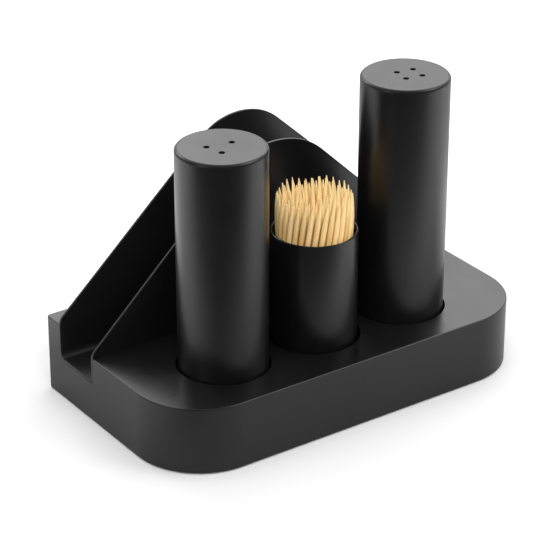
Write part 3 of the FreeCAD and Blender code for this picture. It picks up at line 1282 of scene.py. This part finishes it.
class Floor:
    """The white floor, with a look for the camera and one for the set's black surfaces.

    The camera sees a painted shadow darken it close to the set, on top of the
    lamps' real shadow, and sees it turn pure white far from it. The set's black
    surfaces mirror a painted reflection: a pale floor with painted shade close to
    the set and well behind it, that ends a little before the set in painted dark.
    """

    SIZE = 12.0
    ROUGHNESS = 0.8
    SPECULAR = 0.1
    SET_CENTRE = (0.012, -0.01)
    SET_HALF = (0.113, 0.073)
    FRONT_WAY = (-0.6, -0.8, 0.0)
    REAR_WAY = (0.577, 0.816, 0.0)
    # Painted reflection: the floor's colour as the black surfaces mirror it, pale, with painted
    # shade close to the set and behind it, and painted dark past its end towards the camera.
    PAINTED_REFLECTION_END = Fade((0.07, 0.17), (0.9, 0.05))
    PAINTED_REFLECTION_SHADE_BY_SET = Fade((0.0, 0.04), (0.46, 1.0))
    PAINTED_REFLECTION_SHADE_BEHIND = Fade((0.1, 0.16), (1.0, 0.55))
    # Painted shadow: the floor as the camera sees it is darker close to the set, on top of the
    # lamps' real shadow.
    PAINTED_SHADOW = Fade((0.0, 0.1), (0.61, 0.9))
    WHITE = Fade((0.25, 0.7), (0.0, 1.0))

    def outside(self, tree: Tree, place: Socket) -> Socket:
        """Gives how far a place on the floor lies outside the set's rectangle.

        Args:
            tree: The node tree.
            place: The place on the floor.

        Returns:
            The socket with the distance in metres.
        """
        parts = tree.nodes.new("ShaderNodeSeparateXYZ")
        tree.links.new(place, parts.inputs["Vector"])
        sides = []
        for axis, middle, reach in zip("XY", self.SET_CENTRE, self.SET_HALF):
            off = combine(tree, "SUBTRACT", parts.outputs[axis], middle)
            sides.append(combine(tree, "SUBTRACT", combine(tree, "ABSOLUTE", off), reach))
        return combine(tree, "MAXIMUM", *sides)

    def build(self) -> Piece:
        """Makes the floor.

        Returns:
            The floor.
        """
        drop_selection()
        bpy.ops.mesh.primitive_plane_add(size=self.SIZE, location=(0.0, 0.0, 0.0))
        floor = bpy.context.object
        floor.name = "floor"
        material, tree, shader = fresh_material("white_floor")
        shader.inputs["Roughness"].default_value = self.ROUGHNESS
        shader.inputs["Specular IOR Level"].default_value = self.SPECULAR
        place = tree.nodes.new("ShaderNodeNewGeometry").outputs["Position"]
        apart = self.outside(tree, place)
        # Painted reflection for the black surfaces: the floor turns dark towards the camera and
        # dims, as painted shade, close to the set and behind it.
        sheet = self.PAINTED_REFLECTION_END.read(tree, along(tree, place, self.FRONT_WAY))
        sheet = combine(tree, "MULTIPLY", sheet, self.PAINTED_REFLECTION_SHADE_BY_SET.read(tree, apart))
        shade_behind = self.PAINTED_REFLECTION_SHADE_BEHIND.read(tree, along(tree, place, self.REAR_WAY))
        mirrored = combine(tree, "MULTIPLY", sheet, shade_behind)
        seen = seen_directly(tree, tree.nodes.new("ShaderNodeLightPath"))
        # Painted shadow for the camera: a darker floor close to the set.
        shown = combine(tree, "MULTIPLY", seen, self.PAINTED_SHADOW.read(tree, apart))
        white = combine(tree, "MULTIPLY", seen, self.WHITE.read(tree, apart))
        tree.links.new(white, shader.inputs["Emission Strength"])
        # The floor's colour: the painted shadow for the camera, the painted reflection for other
        # rays.
        tone = combine(tree, "MAXIMUM", shown, mirrored)
        colour = ramp(tree, tone, [(0.0, (0.0, 0.0, 0.0)), (1.0, (1.0, 1.0, 1.0))])
        tree.links.new(colour, shader.inputs["Base Color"])
        floor.data.materials.append(material)
        return floor


class Backdrop:
    """The world: white where the camera sees it and behind the set, a soft room elsewhere."""

    WHITE_WAY = (0.45, 0.75, 0.35)
    WHITE_EDGE = Fade((-0.1, 0.6), (0.0, 1.0))
    LIT_ROOM = (0.35, 0.35, 0.35)
    MIRRORED_ROOM = (0.15, 0.15, 0.15)

    def build(self) -> None:
        """Makes the world."""
        world = bpy.data.worlds.new("studio")
        bpy.context.scene.world = world
        world.use_nodes = True
        tree = world.node_tree
        tree.nodes.clear()
        output = tree.nodes.new("ShaderNodeOutputWorld")
        path = tree.nodes.new("ShaderNodeLightPath")
        glossy = path.outputs["Is Glossy Ray"]
        place = tree.nodes.new("ShaderNodeTexCoord").outputs["Generated"]
        behind = self.WHITE_EDGE.read(tree, along(tree, place, self.WHITE_WAY))
        mirrored = combine(tree, "MULTIPLY", glossy, behind)
        white = combine(tree, "MAXIMUM", seen_directly(tree, path), mirrored)
        soft = tree.nodes.new("ShaderNodeBackground")
        room = ramp(tree, glossy, [(0.0, self.LIT_ROOM), (1.0, self.MIRRORED_ROOM)])
        tree.links.new(room, soft.inputs["Color"])
        bright = tree.nodes.new("ShaderNodeBackground")
        bright.inputs["Color"].default_value = (1.0, 1.0, 1.0, 1.0)
        mix = tree.nodes.new("ShaderNodeMixShader")
        tree.links.new(white, mix.inputs["Fac"])
        for entry, background in zip((1, 2), (soft, bright)):
            background.inputs["Strength"].default_value = 1.0
            tree.links.new(background.outputs["Background"], mix.inputs[entry])
        tree.links.new(mix.outputs["Shader"], output.inputs["Surface"])


@dataclass(frozen=True)
class Studio:
    """A white floor and backdrop, soft lamps and the photograph's viewing angle.

    The overhead and fill lamps light the wood and the floor. The others show as
    soft reflections on the black surfaces.
    """

    CLIP = (0.01, 50.0)
    LAMPS = (
        Lamp("overhead", (0.0, 0.0, 1.5), (0.0, 0.0, 0.0), (1.6, 1.6), 22.0, glossy=False),
        Lamp("behind", (1.0, 0.9, 1.12), (0.0, 0.0, 0.05), (1.6, 0.9), 11.0),
        Lamp("corner", (-0.2, 1.15, 0.75), (0.0, 0.0, 0.02), (0.35, 0.35), 3.0),
        Lamp("left", (-1.2, -0.15, 0.5), (0.0, 0.0, 0.05), (0.5, 1.0), 2.0),
        Lamp("ridge", (0.62, -0.55, 0.87), (0.0, 0.0, 0.02), (0.6, 0.6), 4.5),
        Lamp("fill", (-0.5, -0.9, 0.8), (0.0, 0.0, 0.05), (0.8, 0.8), 11.0, glossy=False),
    )

    camera_place: Point = (-408.521 * MM, -570.898 * MM, 393.578 * MM)
    yaw_deg: float = 35.2111
    pitch_deg: float = -26.9603
    roll_deg: float = 0.1747
    lens: float = 149.614
    sensor: float = 36.0

    def camera(self) -> Piece:
        """Makes the camera and sets it as the scene's.

        Returns:
            The camera.
        """
        yaw, pitch, roll = (math.radians(v) for v in (self.yaw_deg, self.pitch_deg, self.roll_deg))
        flat = math.cos(pitch)
        ahead = Vector((math.sin(yaw) * flat, math.cos(yaw) * flat, math.sin(pitch)))
        side = Vector((math.cos(yaw), -math.sin(yaw), 0.0))
        lift = side.cross(ahead)
        right = side * math.cos(roll) + lift * math.sin(roll)
        up = -side * math.sin(roll) + lift * math.cos(roll)
        data = bpy.data.cameras.new("camera")
        data.lens = self.lens
        data.sensor_width = self.sensor
        data.clip_start, data.clip_end = self.CLIP
        made = bpy.data.objects.new("camera", data)
        bpy.context.scene.collection.objects.link(made)
        turn = Matrix((right, up, -ahead)).transposed().to_4x4()
        made.matrix_world = Matrix.Translation(self.camera_place) @ turn
        bpy.context.scene.camera = made
        return made

    def build(self) -> None:
        """Makes the whole studio."""
        self.camera()
        Backdrop().build()
        for lamp in self.LAMPS:
            lamp.build()
        Floor().build()
        bpy.context.scene.view_settings.view_transform = "Standard"
        LOG.info("built the studio")


# The set


def ring_of_holes(
    radius: float, angles: Sequence[float], dx: float = 0.0, dy: float = 0.0
) -> list[Span]:
    """Places holes on a circle.

    Args:
        radius: The circle's radius.
        angles: The holes' angles in degrees.
        dx: Shift of the circle along X.
        dy: Shift of the circle along Y.

    Returns:
        The holes' places from the shaker's axis.
    """
    turns = [math.radians(angle) for angle in angles]
    return [(dx + radius * math.cos(turn), dy + radius * math.sin(turn)) for turn in turns]


def napkin_plates() -> tuple[NapkinPlate, NapkinPlate]:
    """Sizes the two sheet plates: their studs start within the sheet.

    Returns:
        The front plate and the rear plate.
    """
    stud_z = 17.95 * MM
    front_root, front_end = SLOT_FRONT_Y - 0.9 * MM, SLOT_FRONT_Y - 6.5 * MM
    stud_y = 20.55 * MM
    rear_root, rear_end = 15.3 * MM, 8.9 * MM
    front = NapkinPlate(
        name="front_napkin_plate",
        node="front_plate",
        face_y=SLOT_FRONT_Y,
        bottom_z=14.4 * MM,
        corner_z=25.3 * MM,
        studs=[((x, front_root, stud_z), (x, front_end, stud_z)) for x in STUD_X],
        apex_radius=28.0 * MM,
    )
    rear = NapkinPlate(
        name="rear_napkin_plate",
        node="rear_plate",
        face_y=SLOT_REAR_Y,
        bottom_z=17.9 * MM,
        corner_z=28.9 * MM,
        studs=[((x, stud_y, rear_root), (x, stud_y, rear_end)) for x in STUD_X],
        apex_radius=23.0 * MM,
        flange_to_y=SLOT_FRONT_Y + 0.1 * MM,
    )
    return front, rear


def shakers() -> tuple[Shaker, Shaker]:
    """Sizes the two shaker bodies.

    Returns:
        The pepper shaker's body and the salt shaker's.
    """
    pepper = Shaker(
        name="pepper_tube",
        node="pepper_shaker_body",
        axis_x=PEPPER_X,
        height=91.9 * MM,
        holes=ring_of_holes(4.7 * MM, (12.0, 150.0, 238.0)),
    )
    salt = Shaker(
        name="salt_tube",
        node="salt_shaker_body",
        axis_x=SALT_X,
        height=99.6 * MM,
        holes=ring_of_holes(4.3 * MM, (37.0, 127.0, 217.0, 307.0), 1.2 * MM, -0.6 * MM),
    )
    return pepper, salt


def main() -> None:
    """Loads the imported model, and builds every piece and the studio."""
    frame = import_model()
    bundle = ToothpickBundle()
    paints = Paints(bundle.length, bundle.point).build()
    PackedPieces().dress(frame["nodes"], paints)
    for plate in napkin_plates():
        plate.build(paints, "base")
    pepper, salt = shakers()
    pepper.build(paints, "pepper_shaker")
    salt.build(paints, "salt_shaker")
    ToothpickCup().build(paints, "cup")
    bundle.build(paints, "picks")
    Studio().build()


if __name__ == "__main__":
    logging.basicConfig(level=logging.INFO, format="%(name)s: %(message)s")
    main()
